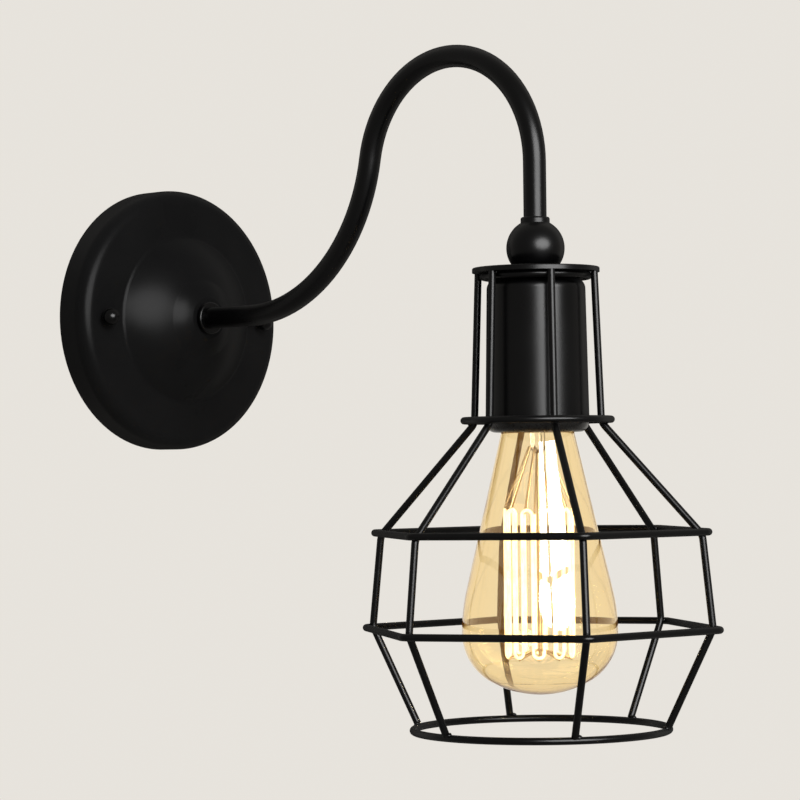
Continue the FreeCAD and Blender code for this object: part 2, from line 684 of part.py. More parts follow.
def wire_corners():
    """The corners of an upright wire's centreline, as radius and height."""
    return [(WIRE_TOP_RADIUS, DISC_BOTTOM), (NECK_RADIUS, NECK_HEIGHT), (UPPER_RADIUS, UPPER_HEIGHT),
            (LOWER_RADIUS, LOWER_HEIGHT), (MOUTH_RADIUS, MOUTH_HEIGHT)]


def shortened(corner, neighbour, length):
    """The end of a run, drawn back towards its other end."""
    run = math.hypot(neighbour[0] - corner[0], neighbour[1] - corner[1])
    share = length / run
    return (corner[0] + (neighbour[0] - corner[0]) * share, corner[1] + (neighbour[1] - corner[1]) * share)


def cage_wire(azimuth):
    corners = wire_corners()
    run = math.hypot(corners[1][0] - corners[0][0], corners[1][1] - corners[0][1])
    tilt = abs(corners[1][0] - corners[0][0]) / run
    corners[0] = shortened(corners[0], corners[1], WELD_GAP + WIRE_RADIUS * tilt)
    corners[-1] = shortened(corners[-1], corners[-2], RING_BAR + WELD_GAP)
    points = [lamp_point(azimuth, radius, height) for radius, height in corners]
    return swept(rounded_path(points, WIRE_BEND), WIRE_RADIUS)


def ring_seat(index):
    """Centre of a ring's bar where it lies outside a bend of the wires, as radius and height."""
    before, corner, after = wire_corners()[index - 1:index + 2]
    back = V(before[0] - corner[0], before[1] - corner[1], 0).normalize()
    ahead = V(after[0] - corner[0], after[1] - corner[1], 0).normalize()
    inward = (back + ahead).normalize()
    half = back.getAngle(ahead) / 2
    crown = WIRE_BEND / math.sin(half) - WIRE_BEND
    apart = WIRE_RADIUS + RING_BAR + WELD_GAP
    out = 1 if inward.x > 0 else -1
    shift = crown + out * apart
    return corner[0] + inward.x * shift, corner[1] + inward.y * shift


def cage_top_ring():
    """The ring under the disc that joins the tops of the wires."""
    radius = WIRE_TOP_RADIUS - WIRE_RADIUS - WELD_GAP - RING_BAR
    height = DISC_BOTTOM - WELD_GAP - RING_BAR
    return Part.makeTorus(radius, RING_BAR, lamp_place(0, height), UP)


def cage_neck_ring():
    radius, height = ring_seat(1)
    return Part.makeTorus(radius, RING_BAR, lamp_place(0, height), UP)


def cage_hex_ring(index):
    """A six-sided ring with a rounded corner at each wire."""
    radius, height = ring_seat(index)
    half_turn = math.radians(180 / WIRE_COUNT)
    corner_radius = radius + RING_CORNER * (1 / math.cos(half_turn) - 1)
    corners = [lamp_point(WIRE_AZIMUTH + 360 / WIRE_COUNT * i, corner_radius, height)
               for i in range(WIRE_COUNT)]
    start = (corners[0] + corners[-1]) * 0.5
    path = rounded_path([start] + corners + [start], RING_CORNER)
    return swept(path, RING_BAR)


def cage_bottom_ring():
    return Part.makeTorus(MOUTH_RADIUS, RING_BAR, lamp_place(0, MOUTH_HEIGHT), UP)


# ---- cup and lampholder ----------------------------------------------------------------------
def cup_form(skin):
    top = CUP_TOP - skin
    shoulder = CUP_TOP - CUP_SHOULDER
    radius = CUP_SHOULDER - skin
    centre = (CUP_TOP_RADIUS - CUP_SHOULDER, shoulder)
    return turned(lamp_place, (0, top), [
        (centre[0], top),
        (arc_middle(centre, radius, 90, 0), (CUP_TOP_RADIUS - skin, shoulder)),
        (CUP_MOUTH_RADIUS - skin, CUP_MOUTH),
        (0, CUP_MOUTH)])


def socket_cup():
    cup = cup_form(0).cut(cup_form(CUP_SHEET))
    return cup.cut(cylinder(NIPPLE_RADIUS + BRAZE_GAP, lamp_place(0, 0), UP, CUP_TOP))


def cup_washer():
    return tube(CUP_WASHER_RADIUS, NIPPLE_RADIUS + BRAZE_GAP, lamp_place(0, HOLDER_TOP), UP, CUP_WASHER)


def lampholder_cap():
    inner = HOLDER_RADIUS - HOLDER_WALL
    centre = (HOLDER_RADIUS - HOLDER_ROUND, HOLDER_TOP - HOLDER_ROUND)
    hole = NIPPLE_RADIUS + BRAZE_GAP
    return turned(lamp_place, (hole, HOLDER_TOP), [
        (centre[0], HOLDER_TOP),
        (arc_middle(centre, HOLDER_ROUND, 90, 0), (HOLDER_RADIUS, centre[1])),
        (HOLDER_RADIUS, CAP_JOINT),
        (inner, CAP_JOINT),
        (inner, HOLDER_CEILING),
        (hole, HOLDER_CEILING)])


def lampholder_skirt():
    spigot = HOLDER_RADIUS - HOLDER_WALL - BRAZE_GAP
    joint = CAP_JOINT - WELD_GAP
    foot_centre = (LIP_RADIUS - (LIP_ROUND_TOP - LIP_BOTTOM), LIP_ROUND_TOP)
    lip_round = LIP_ROUND_TOP - LIP_BOTTOM
    return turned(lamp_place, (spigot, CAP_JOINT + SPIGOT_HEIGHT), [
        (spigot, joint),
        (HOLDER_RADIUS, joint),
        (HOLDER_RADIUS, LIP_TOP),
        (LIP_RADIUS, LIP_TOP),
        (LIP_RADIUS, LIP_ROUND_TOP),
        (arc_middle(foot_centre, lip_round, 0, -90), (foot_centre[0], LIP_BOTTOM)),
        (LIP_FLARE, LIP_BOTTOM),
        (SKIRT_BORE, LIP_BOTTOM + LIP_FLARE_HEIGHT),
        (SKIRT_BORE, SEAT_HEIGHT),
        (SEAT_RADIUS, SEAT_HEIGHT),
        (SEAT_RADIUS, CAP_JOINT + SPIGOT_HEIGHT)])


def shell_radius():
    """Outer radius of the threaded shell that holds the bulb."""
    return BULB_CAP_RADIUS + BULB_GAP + SHELL_SHEET


def lampholder_insert():
    body = cylinder(SKIRT_BORE - BRAZE_GAP, lamp_place(0, INSERT_BOTTOM), UP, INSERT_TOP - INSERT_BOTTOM)
    flange = cylinder(SEAT_RADIUS - BRAZE_GAP, lamp_place(0, SEAT_HEIGHT), UP, INSERT_TOP - SEAT_HEIGHT)
    return body.fuse(flange).removeSplitter()


def screw_shell():
    outer = shell_radius()
    inner = outer - SHELL_SHEET
    return turned(lamp_place, (SHELL_HOLE, INSERT_BOTTOM), [
        (outer, INSERT_BOTTOM),
        (outer, SHELL_BOTTOM),
        (inner, SHELL_BOTTOM),
        (inner, INSERT_BOTTOM - SHELL_SHEET),
        (SHELL_HOLE, INSERT_BOTTOM - SHELL_SHEET)])


def centre_contact():
    """A springy tongue bent down to the bulb's button."""
    low = BULB_TIP + BULB_GAP
    top = INSERT_BOTTOM
    knee = TONGUE_HALF / 2
    line = [(-TONGUE_HALF, top), (-knee, top), (0, low + TONGUE_SHEET), (knee, low + TONGUE_SHEET),
            (knee, low), (-TONGUE_SHEET / 2, low),
            (-knee, top - TONGUE_SHEET), (-TONGUE_HALF, top - TONGUE_SHEET)]
    points = [V(x, -ARM_REACH - TONGUE_WIDTH / 2, z) for x, z in line]
    return Part.Face(Part.makePolygon(points + points[:1])).extrude(V(0, TONGUE_WIDTH, 0))


def holder_terminal(side):
    middle = lamp_place(side * TERMINAL_OFFSET, INSERT_TOP)
    half = V(TERMINAL_WIDTH / 2, TERMINAL_DEPTH / 2, 0)
    top = middle + V(0, 0, TERMINAL_HEIGHT)
    block = box(middle - half, top + half)
    block = block.cut(cylinder(TERMINAL_HOLE, top, DOWN, TERMINAL_HOLE_DEPTH))
    screw_foot = middle + V(0, 0, TERMINAL_HEIGHT / 2)
    return block.cut(cylinder(HOLDER_SCREW_RADIUS + BRAZE_GAP, screw_foot, OUT, TERMINAL_DEPTH))


def holder_screw(side):
    middle = lamp_place(side * TERMINAL_OFFSET, INSERT_TOP + TERMINAL_HEIGHT / 2)
    tip = middle + V(0, -LEAD_CORE - WELD_GAP, 0)
    face = middle + V(0, -TERMINAL_DEPTH / 2 - WELD_GAP, 0)
    shank = cylinder(HOLDER_SCREW_RADIUS, tip, OUT, tip.y - face.y)
    head = cylinder(HOLDER_SCREW_HEAD, face, OUT, HOLDER_SCREW_HEAD_HEIGHT)
    return shank.fuse(head).removeSplitter()


# ---- bulb ------------------------------------------------------------------------------------
def bulb_outline(skin):
    """Outer profile of the glass, moved in by a skin, from the neck down to the pole."""
    slope = math.radians(CONE_SLOPE)
    arc = SHOULDER_ARC - skin
    widest = BULB_WIDEST - skin
    cone_end_radius = widest - arc * (1 - math.cos(slope))
    cone_run = (BULB_WIDEST - SHOULDER_ARC * (1 - math.cos(slope)) - CONE_TOP_RADIUS) / math.tan(slope)
    widest_height = CONE_TOP - cone_run - SHOULDER_ARC * math.sin(slope)
    arc_centre = (widest - arc, widest_height)
    cone_end = (cone_end_radius, widest_height + arc * math.sin(slope))
    belly = BELLY_ARC - skin
    belly_centre = (widest - belly, widest_height)
    turn = math.radians(BELLY_TURN)
    belly_end = (belly_centre[0] + belly * math.cos(turn), widest_height - belly * math.sin(turn))
    end_arc = belly_end[0] / math.cos(turn)
    end_centre = (0, belly_end[1] + end_arc * math.sin(turn))
    cone_top = (CONE_TOP_RADIUS - skin / math.cos(slope), CONE_TOP)
    return [
        (NECK_GLASS_RADIUS - skin, BULB_CAP_FLARE),
        cone_top,
        cone_end,
        (arc_middle(arc_centre, arc, CONE_SLOPE, 0), (widest, widest_height)),
        (arc_middle(belly_centre, belly, 0, -BELLY_TURN), belly_end),
        (arc_middle(end_centre, end_arc, -BELLY_TURN, -90), (0, end_centre[1] - end_arc))]


def bulb_glass():
    forms = []
    for skin in (0, BULB_WALL):
        start = (NECK_GLASS_RADIUS - skin, NECK_GLASS_TOP)
        forms.append(turned(lamp_place, start, bulb_outline(skin) + [(0, NECK_GLASS_TOP)]))
    return forms[0].cut(forms[1])


def bulb_cap():
    sheet = BULB_CAP_SHEET
    top = INSULATOR_RADIUS + WELD_GAP
    return turned(lamp_place, (top, BULB_CAP_TOP), [
        (BULB_CAP_RADIUS, BULB_CAP_SHOULDER),
        (BULB_CAP_RADIUS, BULB_CAP_FLARE),
        (BULB_CAP_RIM_RADIUS, BULB_CAP_RIM),
        (BULB_CAP_RIM_RADIUS - sheet, BULB_CAP_RIM),
        (BULB_CAP_RADIUS - sheet, BULB_CAP_FLARE),
        (BULB_CAP_RADIUS - sheet, BULB_CAP_SHOULDER - sheet),
        (top, BULB_CAP_TOP - sheet)])


def bulb_insulator():
    start = BULB_TIP - BULB_BUTTON_HEIGHT
    return turned(lamp_place, (0, start), [
        (BULB_BUTTON_RADIUS, start),
        (INSULATOR_RADIUS, BULB_CAP_TOP),
        (INSULATOR_RADIUS, BULB_CAP_TOP - 2 * BULB_CAP_SHEET),
        (0, BULB_CAP_TOP - 2 * BULB_CAP_SHEET)])


def bulb_contact():
    low = BULB_TIP - BULB_BUTTON_HEIGHT
    button = cylinder(BULB_BUTTON_RADIUS, lamp_place(0, low), UP, BULB_BUTTON_HEIGHT)
    return rounded(button, BULB_BUTTON_HEIGHT * 0.7, BULB_BUTTON_RADIUS, lamp_place(0, BULB_TIP))


def bulb_stem():
    rim = NECK_GLASS_RADIUS - BULB_WALL - WELD_GAP
    tip_centre = (0, STEM_END + STEM_RADIUS)
    return turned(lamp_place, (rim, STEM_FLARE_TOP), [
        (rim, STEM_FLARE_TOP - STEM_FLARE_EDGE),
        ((STEM_FLARE_WAIST, (STEM_FLARE_TOP + STEM_FLARE_LOW) / 2), (STEM_RADIUS, STEM_FLARE_LOW)),
        (STEM_RADIUS, STEM_END + STEM_RADIUS),
        (arc_middle(tip_centre, STEM_RADIUS, 0, -90), (0, STEM_END)),
        (0, STEM_FLARE_TOP)])


def strand_azimuth(index):
    """Azimuth of one upright run of the filament."""
    return STRAND_AZIMUTH + 360 / STRAND_COUNT * index


def strand_turn():
    """Radius of the half turn between two neighbouring runs."""
    return STRAND_CIRCLE * math.sin(math.radians(180 / STRAND_COUNT))


def filament():
    bend = strand_turn()
    top = STRAND_TOP - bend
    low = STRAND_LOW + bend
    edges = []
    for i in range(STRAND_COUNT):
        going_down = i % 2 == 0
        first, last = (top, low) if going_down else (low, top)
        start = lamp_point(strand_azimuth(i), STRAND_CIRCLE, first)
        end = lamp_point(strand_azimuth(i), STRAND_CIRCLE, last)
        edges.append(Part.LineSegment(start, end).toShape())
        if i < STRAND_COUNT - 1:
            follow = lamp_point(strand_azimuth(i + 1), STRAND_CIRCLE, last)
            crown = (end + follow) * 0.5 + V(0, 0, -bend if going_down else bend)
            edges.append(Part.Arc(end, crown, follow).toShape())
    return swept(Part.Wire(edges), STRAND_RADIUS)


def rod(start, end, radius):
    return cylinder(radius, start, end - start, (end - start).Length)


def filament_supports():
    """Thin arms from the stem to the upper turns, and a centre rod with arms to the lower ones."""
    turn_radius = STRAND_CIRCLE * math.cos(math.radians(180 / STRAND_COUNT))
    clear = STRAND_RADIUS + SUPPORT_RADIUS + WELD_GAP
    arms = []
    for i in range(1, STRAND_COUNT - 1, 2):
        azimuth = (strand_azimuth(i) + strand_azimuth(i + 1)) / 2
        root = lamp_point(azimuth, STEM_RADIUS + WELD_GAP + SUPPORT_RADIUS, SUPPORT_ROOT)
        arms.append(rod(root, lamp_point(azimuth, turn_radius, STRAND_TOP + clear), SUPPORT_RADIUS))
    low_end = STRAND_LOW - clear
    centre = rod(lamp_place(0, STEM_END - WELD_GAP), lamp_place(0, low_end), CENTRE_ROD_RADIUS)
    for i in range(0, STRAND_COUNT, 2):
        azimuth = (strand_azimuth(i) + strand_azimuth(i + 1)) / 2
        tip = lamp_point(azimuth, turn_radius, low_end)
        centre = centre.fuse(rod(lamp_place(0, SUPPORT_HUB), tip, SUPPORT_RADIUS))
    return group(arms + [centre.removeSplitter()])


def bulb_lead_wires():
    wires = []
    for index in (0, STRAND_COUNT - 1):
        azimuth = strand_azimuth(index)
        root = lamp_point(azimuth, STEM_RADIUS + WELD_GAP + SUPPORT_RADIUS, SUPPORT_ROOT)
        end = lamp_point(azimuth, STRAND_CIRCLE, STRAND_TOP - strand_turn() + SUPPORT_RADIUS + WELD_GAP)
        wires.append(rod(root, end, SUPPORT_RADIUS))
    return group(wires)


def main():
    os.makedirs("parts", exist_ok=True)
    sides = (-1, 1)
    save("canopy", canopy())
    save("wall_bracket", wall_bracket())
    save("bracket_studs", group([bracket_stud(side) for side in sides]))
    save("stud_lock_nuts", group([stud_lock_nut(side) for side in sides]))
    save("ball_nut_left", ball_nut(-1))
    save("ball_nut_right", ball_nut(1))
    save("terminal_block", terminal_block())
    save("terminal_clamps", group([terminal_clamp(side) for side in sides]))
    save("terminal_screws", terminal_screws())
    save("block_screw", block_screw())
    save("earth_screw", earth_screw())
    save("earth_washer", earth_washer())
    save("arm_collar", arm_collar())
    save("arm_washer", arm_washer())
    save("arm_lock_nut", arm_lock_nut())
    save("arm_tube", arm_tube())
    save("live_lead", lead(-1))
    save("neutral_lead", lead(1))
    save("ball_coupling", ball_coupling())
    save("head_nipple", head_nipple())
    save("cage_top_disc", cage_top_disc())
    save("cage_lock_nut", cage_lock_nut())
    for i in range(WIRE_COUNT):
        save("cage_wire_%d" % (i + 1), cage_wire(WIRE_AZIMUTH + 360 / WIRE_COUNT * i))
    save("cage_top_ring", cage_top_ring())
    save("cage_neck_ring", cage_neck_ring())
    save("cage_upper_ring", cage_hex_ring(2))
    save("cage_lower_ring", cage_hex_ring(3))
    save("cage_bottom_ring", cage_bottom_ring())
    save("socket_cup", socket_cup())
    save("cup_washer", cup_washer())
    save("lampholder_cap", lampholder_cap())
    save("lampholder_insert", lampholder_insert())
    save("lampholder_skirt", lampholder_skirt())
    save("screw_shell", screw_shell())
    save("centre_contact", centre_contact())
    save("holder_terminals", group([holder_terminal(side) for side in sides]))
    save("holder_screws", group([holder_screw(side) for side in sides]))
    save("bulb_cap", bulb_cap())
    save("bulb_insulator", bulb_insulator())
    save("bulb_contact", bulb_contact())
    save("bulb_glass", bulb_glass())
    save("bulb_stem", bulb_stem())
    save("filament", filament())
    save("filament_supports", filament_supports())
    save("bulb_lead_wires", bulb_lead_wires())


main()
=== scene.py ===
import bmesh
import bpy
import json
import math
from mathutils import Matrix, Vector, noise
from mathutils.bvhtree import BVHTree


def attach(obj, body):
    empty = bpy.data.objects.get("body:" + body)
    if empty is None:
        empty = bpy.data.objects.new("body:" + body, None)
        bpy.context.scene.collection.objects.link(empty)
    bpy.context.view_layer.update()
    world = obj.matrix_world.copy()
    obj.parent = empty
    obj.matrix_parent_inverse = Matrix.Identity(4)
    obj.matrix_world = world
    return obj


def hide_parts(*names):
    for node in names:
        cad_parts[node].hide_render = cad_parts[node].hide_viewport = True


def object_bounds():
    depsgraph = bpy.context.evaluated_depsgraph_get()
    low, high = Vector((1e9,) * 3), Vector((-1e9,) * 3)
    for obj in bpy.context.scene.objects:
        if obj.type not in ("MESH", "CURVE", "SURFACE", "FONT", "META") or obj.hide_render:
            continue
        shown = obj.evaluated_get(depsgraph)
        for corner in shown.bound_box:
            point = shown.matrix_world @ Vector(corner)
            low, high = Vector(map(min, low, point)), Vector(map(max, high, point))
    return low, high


# Looks of the cage wall light: finishes, weld beads, rolled threads and the lit filament.
# Metres, in the CAD frame: +Z up, the wall at Y = 0, the lamp reaching out along -Y.

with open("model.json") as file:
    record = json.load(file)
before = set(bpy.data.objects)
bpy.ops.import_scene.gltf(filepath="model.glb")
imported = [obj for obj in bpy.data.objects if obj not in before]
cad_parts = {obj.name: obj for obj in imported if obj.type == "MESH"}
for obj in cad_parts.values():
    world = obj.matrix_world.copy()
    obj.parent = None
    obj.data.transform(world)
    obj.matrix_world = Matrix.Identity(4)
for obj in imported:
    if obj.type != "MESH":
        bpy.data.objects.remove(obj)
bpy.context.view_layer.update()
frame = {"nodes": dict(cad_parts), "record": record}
nodes = frame["nodes"]

MM = 0.001

# ---- camera of the photograph ------------------------------------------------------------
PHOTO_SIZE = 800
SENSOR = 36.0
FOCAL_PIXELS = 2955.4
VIEW_AZIMUTH = -45.30          # degrees, 0 looks along +Y
VIEW_ELEVATION = -1.165
VIEW_ROLL = -0.631
ORIGIN_PIXEL = (160.67, 321.26)  # where the frame's origin lies in the photograph
ORIGIN_DEPTH = 1.37989         # distance of the frame's origin along the viewing direction

# ---- studio ------------------------------------------------------------------------------
BACKGROUND = (0.80, 0.77, 0.72)
WORLD_LIGHT = 0.42
FLOOR_HEIGHT = -0.55
FLOOR_RADIUS = 1.6
FLOOR_CLEAR = 0.9              # radius inside which the floor is solid


def direction(azimuth, elevation):
    """The unit vector from the object towards a viewer at these angles in degrees."""
    a, e = math.radians(azimuth), math.radians(elevation)
    return Vector((math.sin(a) * math.cos(e), -math.cos(a) * math.cos(e), math.sin(e)))


def make_camera():
    back = direction(VIEW_AZIMUTH, VIEW_ELEVATION)
    right = (-back).cross(Vector((0, 0, 1))).normalized()
    up = right.cross(-back)
    roll = math.radians(VIEW_ROLL)
    right, up = (right * math.cos(roll) + up * math.sin(roll),
                 up * math.cos(roll) - right * math.sin(roll))
    across = (ORIGIN_PIXEL[0] - PHOTO_SIZE / 2) / FOCAL_PIXELS
    above = (PHOTO_SIZE / 2 - ORIGIN_PIXEL[1]) / FOCAL_PIXELS
    camera = bpy.data.objects.new("camera", bpy.data.cameras.new("camera"))
    camera.data.sensor_width = SENSOR
    camera.data.lens = FOCAL_PIXELS * SENSOR / PHOTO_SIZE
    place = (back - right * across - up * above) * ORIGIN_DEPTH
    turn = Matrix((right, up, back)).transposed().to_4x4()
    camera.matrix_world = Matrix.Translation(place) @ turn
    bpy.context.scene.collection.objects.link(camera)
    bpy.context.scene.camera = camera


def area_light(name, azimuth, elevation, distance, size, watts, height=None):
    """A soft rectangular lamp that looks at the middle of the object."""
    lamp = bpy.data.objects.new(name, bpy.data.lights.new(name, "AREA"))
    lamp.data.shape = "RECTANGLE"
    lamp.data.size = size
    lamp.data.size_y = height or size
    lamp.data.energy = watts
    low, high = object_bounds()
    middle = (low + high) / 2
    towards = direction(azimuth, elevation)
    lamp.location = middle + towards * distance
    lamp.rotation_mode = "QUATERNION"
    lamp.rotation_quaternion = towards.to_track_quat("Z", "Y")
    bpy.context.scene.collection.objects.link(lamp)
    return lamp


# ---- node helpers ------------------------------------------------------------------------
class Tree:
    """Short ways to add nodes to a material's or world's tree."""

    def __init__(self, owner):
        owner.use_nodes = True
        self.nodes = owner.node_tree.nodes
        self.links = owner.node_tree.links

    def add(self, kind, **values):
        node = self.nodes.new(kind)
        for name, value in values.items():
            if name in node.inputs:
                node.inputs[name].default_value = value
            else:
                setattr(node, name, value)
        return node

    def link(self, output, socket):
        self.links.new(output, socket)

    def noise(self, scale, detail=3.0, roughness=0.5):
        place = self.add("ShaderNodeTexCoord")
        texture = self.add("ShaderNodeTexNoise")
        texture.inputs["Scale"].default_value = scale
        texture.inputs["Detail"].default_value = detail
        texture.inputs["Roughness"].default_value = roughness
        self.link(place.outputs["Object"], texture.inputs["Vector"])
        return texture

    def ramp(self, factor, stops):
        """A colour ramp from (position, colour) stops."""
        node = self.add("ShaderNodeValToRGB")
        elements = node.color_ramp.elements
        while len(elements) < len(stops):
            elements.new(0.5)
        for element, (position, colour) in zip(elements, stops):
            element.position = position
            element.color = (*colour, 1) if len(colour) == 3 else colour
        self.link(factor, node.inputs["Fac"])
        return node.outputs["Color"]

    def blend(self, texture, dark, pale):
        """Clouds of two colours after a noise."""
        start, end = CLOUD_SPAN
        return self.ramp(texture.outputs["Fac"], [(start, dark), (end, pale)])

    def spread(self, factor, low, high, start=0.3, end=0.7):
        """A value that runs from low to high as factor runs from start to end."""
        node = self.add("ShaderNodeMapRange")
        ends = {"From Min": start, "From Max": end, "To Min": low, "To Max": high}
        for name, value in ends.items():
            node.inputs[name].default_value = value
        self.link(factor, node.inputs["Value"])
        return node.outputs["Result"]

    def bump(self, height, strength, distance):
        node = self.add("ShaderNodeBump")
        node.inputs["Strength"].default_value = strength
        node.inputs["Distance"].default_value = distance
        self.link(height, node.inputs["Height"])
        return node.outputs["Normal"]


def principled(name, **sockets):
    """A material with the shader's constant sockets set, and its tree and shader."""
    material = bpy.data.materials.new(name)
    tree = Tree(material)
    shader = tree.nodes["Principled BSDF"]
    for socket, value in sockets.items():
        shader.inputs[socket.replace("_", " ")].default_value = value
    return material, tree, shader


# ---- finishes ----------------------------------------------------------------------------
DUST = (0.05, 0.046, 0.040)
DUST_MOST = 0.06               # share of dust on a face that looks straight up
GLANCING_SPREAD = 0.62         # roughness that the coat gains at a glancing angle
CLOUD_SPAN = (0.3, 0.7)        # part of a noise's range over which two colours blend
# Two copies of one black coat. The glossy one on the head is painted darker (painted shade) and
# the matte one on the canopy painted lighter (painted light); their gloss and roughness differ as
# a finish.
GLOSSY_SHADED_DARK = (0.0008, 0.0008, 0.0009)
GLOSSY_SHADED_PALE = (0.0018, 0.0018, 0.0020)
MATTE_LIT_DARK = (0.0062, 0.0062, 0.0064)
MATTE_LIT_PALE = (0.0084, 0.0084, 0.0086)


def powder_coat(name, dark, pale, specular, smooth, rough):
    """Black powder coat: fine orange peel, patches of sheen and a trace of dust on top.

    Its fine texture spreads the gloss that a polished skin has at a glancing angle.
    """
    material, tree, shader = principled(name, Specular_IOR_Level=specular)
    edge = tree.add("ShaderNodeLayerWeight", Blend=0.5)
    glancing = tree.spread(edge.outputs["Facing"], 0.0, GLANCING_SPREAD, 0.45, 0.85)
    patches = tree.noise(28, 4)
    grain = tree.noise(900, 2)
    coat = tree.blend(patches, dark, pale)
    geometry = tree.add("ShaderNodeNewGeometry")
    parts = tree.add("ShaderNodeSeparateXYZ")
    tree.link(geometry.outputs["Normal"], parts.inputs["Vector"])
    upward = tree.spread(parts.outputs["Z"], 0.0, DUST_MOST, 0.5, 1.0)
    dusty = tree.add("ShaderNodeMath", operation="MULTIPLY")
    tree.link(upward, dusty.inputs[0])
    tree.link(tree.spread(patches.outputs["Fac"], 0.2, 1.0), dusty.inputs[1])
    mix = tree.add("ShaderNodeMix", data_type="RGBA")
    mix.inputs["B"].default_value = (*DUST, 1)
    tree.link(dusty.outputs[0], mix.inputs["Factor"])
    tree.link(coat, mix.inputs["A"])
    tree.link(mix.outputs["Result"], shader.inputs["Base Color"])
    spread = tree.add("ShaderNodeMath", operation="ADD")
    tree.link(tree.spread(patches.outputs["Fac"], smooth, rough), spread.inputs[0])
    tree.link(glancing, spread.inputs[1])
    tree.link(spread.outputs[0], shader.inputs["Roughness"])
    tree.link(tree.bump(grain.outputs["Fac"], 0.10, 0.0001), shader.inputs["Normal"])
    return material


def plated_steel(name, colour, roughness):
    """Plated steel with a faint brushed grain and cloudy patches."""
    material, tree, shader = principled(name, Metallic=1.0)
    cloud = tree.noise(120, 5)
    grain = tree.noise(1500, 2)
    dark = tuple(c * 0.72 for c in colour)
    uneven = tree.spread(cloud.outputs["Fac"], roughness * 0.8, roughness * 1.25)
    tree.link(tree.blend(cloud, dark, colour), shader.inputs["Base Color"])
    tree.link(uneven, shader.inputs["Roughness"])
    tree.link(tree.bump(grain.outputs["Fac"], 0.2, 0.00004), shader.inputs["Normal"])
    return material


def moulded(name, colour, roughness, specular=0.5):
    """Moulded plastic or porcelain with a slightly uneven skin."""
    material, tree, shader = principled(name, Specular_IOR_Level=specular)
    cloud = tree.noise(60, 3)
    skin = tree.noise(700, 2)
    dark = tuple(c * 0.85 for c in colour)
    uneven = tree.spread(skin.outputs["Fac"], roughness * 0.85, roughness * 1.2)
    tree.link(tree.blend(cloud, dark, colour), shader.inputs["Base Color"])
    tree.link(uneven, shader.inputs["Roughness"])
    tree.link(tree.bump(skin.outputs["Fac"], 0.08, 0.00005), shader.inputs["Normal"])
    return material


def tinted_glass(name, tint, density, painted_glow=0.0):
    """Clear blown glass that takes its colour from the depth that light crosses.

    The painted glow is an emission of the glass itself, which is no lamp: painted light for the
    little of the filament's light that the wall sends on.
    """
    # The emission set here is the painted glow: the glass itself gives off a faint orange light.
    material, tree, shader = principled(
        name, Base_Color=(1, 1, 1, 1), Transmission_Weight=1.0, IOR=1.48,
        Emission_Color=(*AMBER_PAINTED_GLOW, 1), Emission_Strength=painted_glow)
    waves = tree.noise(45, 1)
    film = tree.noise(160, 4)
    tree.link(tree.spread(film.outputs["Fac"], 0.0, 0.035), shader.inputs["Roughness"])
    tree.link(tree.bump(waves.outputs["Fac"], 0.25, 0.0006), shader.inputs["Normal"])
    if density:
        depth = tree.add("ShaderNodeVolumeAbsorption")
        depth.inputs["Color"].default_value = (*tint, 1)
        depth.inputs["Density"].default_value = density
        tree.link(depth.outputs["Volume"], tree.nodes["Material Output"].inputs["Volume"])
    return material


def glowing(name, colour, strength):
    """The lit filament, a little uneven along its length."""
    material, tree, shader = principled(name, Base_Color=(0.4, 0.3, 0.15, 1), Roughness=0.5)
    uneven = tree.noise(220, 2)
    warm = tuple(c * f for c, f in zip(colour, FILAMENT_WARMTH))
    glow = tree.ramp(uneven.outputs["Fac"], [(0.35, warm), (0.65, colour)])
    tree.link(glow, shader.inputs["Emission Color"])
    shader.inputs["Emission Strength"].default_value = strength
    return material


AMBER_TINT = (0.97, 0.76, 0.05)
AMBER_DENSITY = 420.0
# Painted glow of the amber glass: colour and strength of an orange emission on the glass, which
# is no lamp.
AMBER_PAINTED_GLOW = (1.0, 0.42, 0.08)
PAINTED_GLOW_STRENGTH = 0.028
FILAMENT_GLOW = (1.0, 0.80, 0.55)
FILAMENT_WARMTH = (1.0, 0.88, 0.72)
FILAMENT_STRENGTH = 2.2

finishes = {
    # the head's copy of the coat, painted darker: painted shade
    "black_powder_coat": powder_coat(
        "black_powder_coat", GLOSSY_SHADED_DARK, GLOSSY_SHADED_PALE, specular=0.080, smooth=0.23, rough=0.30),
    "zinc_plated_steel": plated_steel("zinc_plated_steel", (0.62, 0.63, 0.64), 0.34),
    "white_plastic": moulded("white_plastic", (0.82, 0.80, 0.74), 0.42),
    "terminal_brass": plated_steel("terminal_brass", (0.80, 0.58, 0.26), 0.3),
    "brown_sleeve": moulded("brown_sleeve", (0.16, 0.06, 0.03), 0.45),
    "blue_sleeve": moulded("blue_sleeve", (0.03, 0.12, 0.42), 0.45),
    "black_plastic": moulded("black_plastic", (0.006, 0.0055, 0.005), 0.28, 0.14),
    "white_ceramic": moulded("white_ceramic", (0.82, 0.80, 0.76), 0.2),
    "bulb_brass": plated_steel("bulb_brass", (0.78, 0.60, 0.32), 0.28),
    "black_glass": moulded("black_glass", (0.02, 0.016, 0.02), 0.12),
    "solder": plated_steel("solder", (0.60, 0.60, 0.61), 0.42),
    # the amber glass carries the painted glow as well as its tint
    "amber_glass": tinted_glass("amber_glass", AMBER_TINT, AMBER_DENSITY, PAINTED_GLOW_STRENGTH),
    "clear_glass": tinted_glass("clear_glass", (1, 1, 1), 0.0),
    "filament": glowing("filament", FILAMENT_GLOW, FILAMENT_STRENGTH),
    "wire_steel": plated_steel("wire_steel", (0.55, 0.42, 0.28), 0.35),
}
# The canopy's copy of the coat: a duller finish with a painted lighter tone (painted light).
matte_lit_coat = powder_coat(
    "matte_lit_powder_coat", MATTE_LIT_DARK, MATTE_LIT_PALE, specular=0.016, smooth=0.26, rough=0.34)


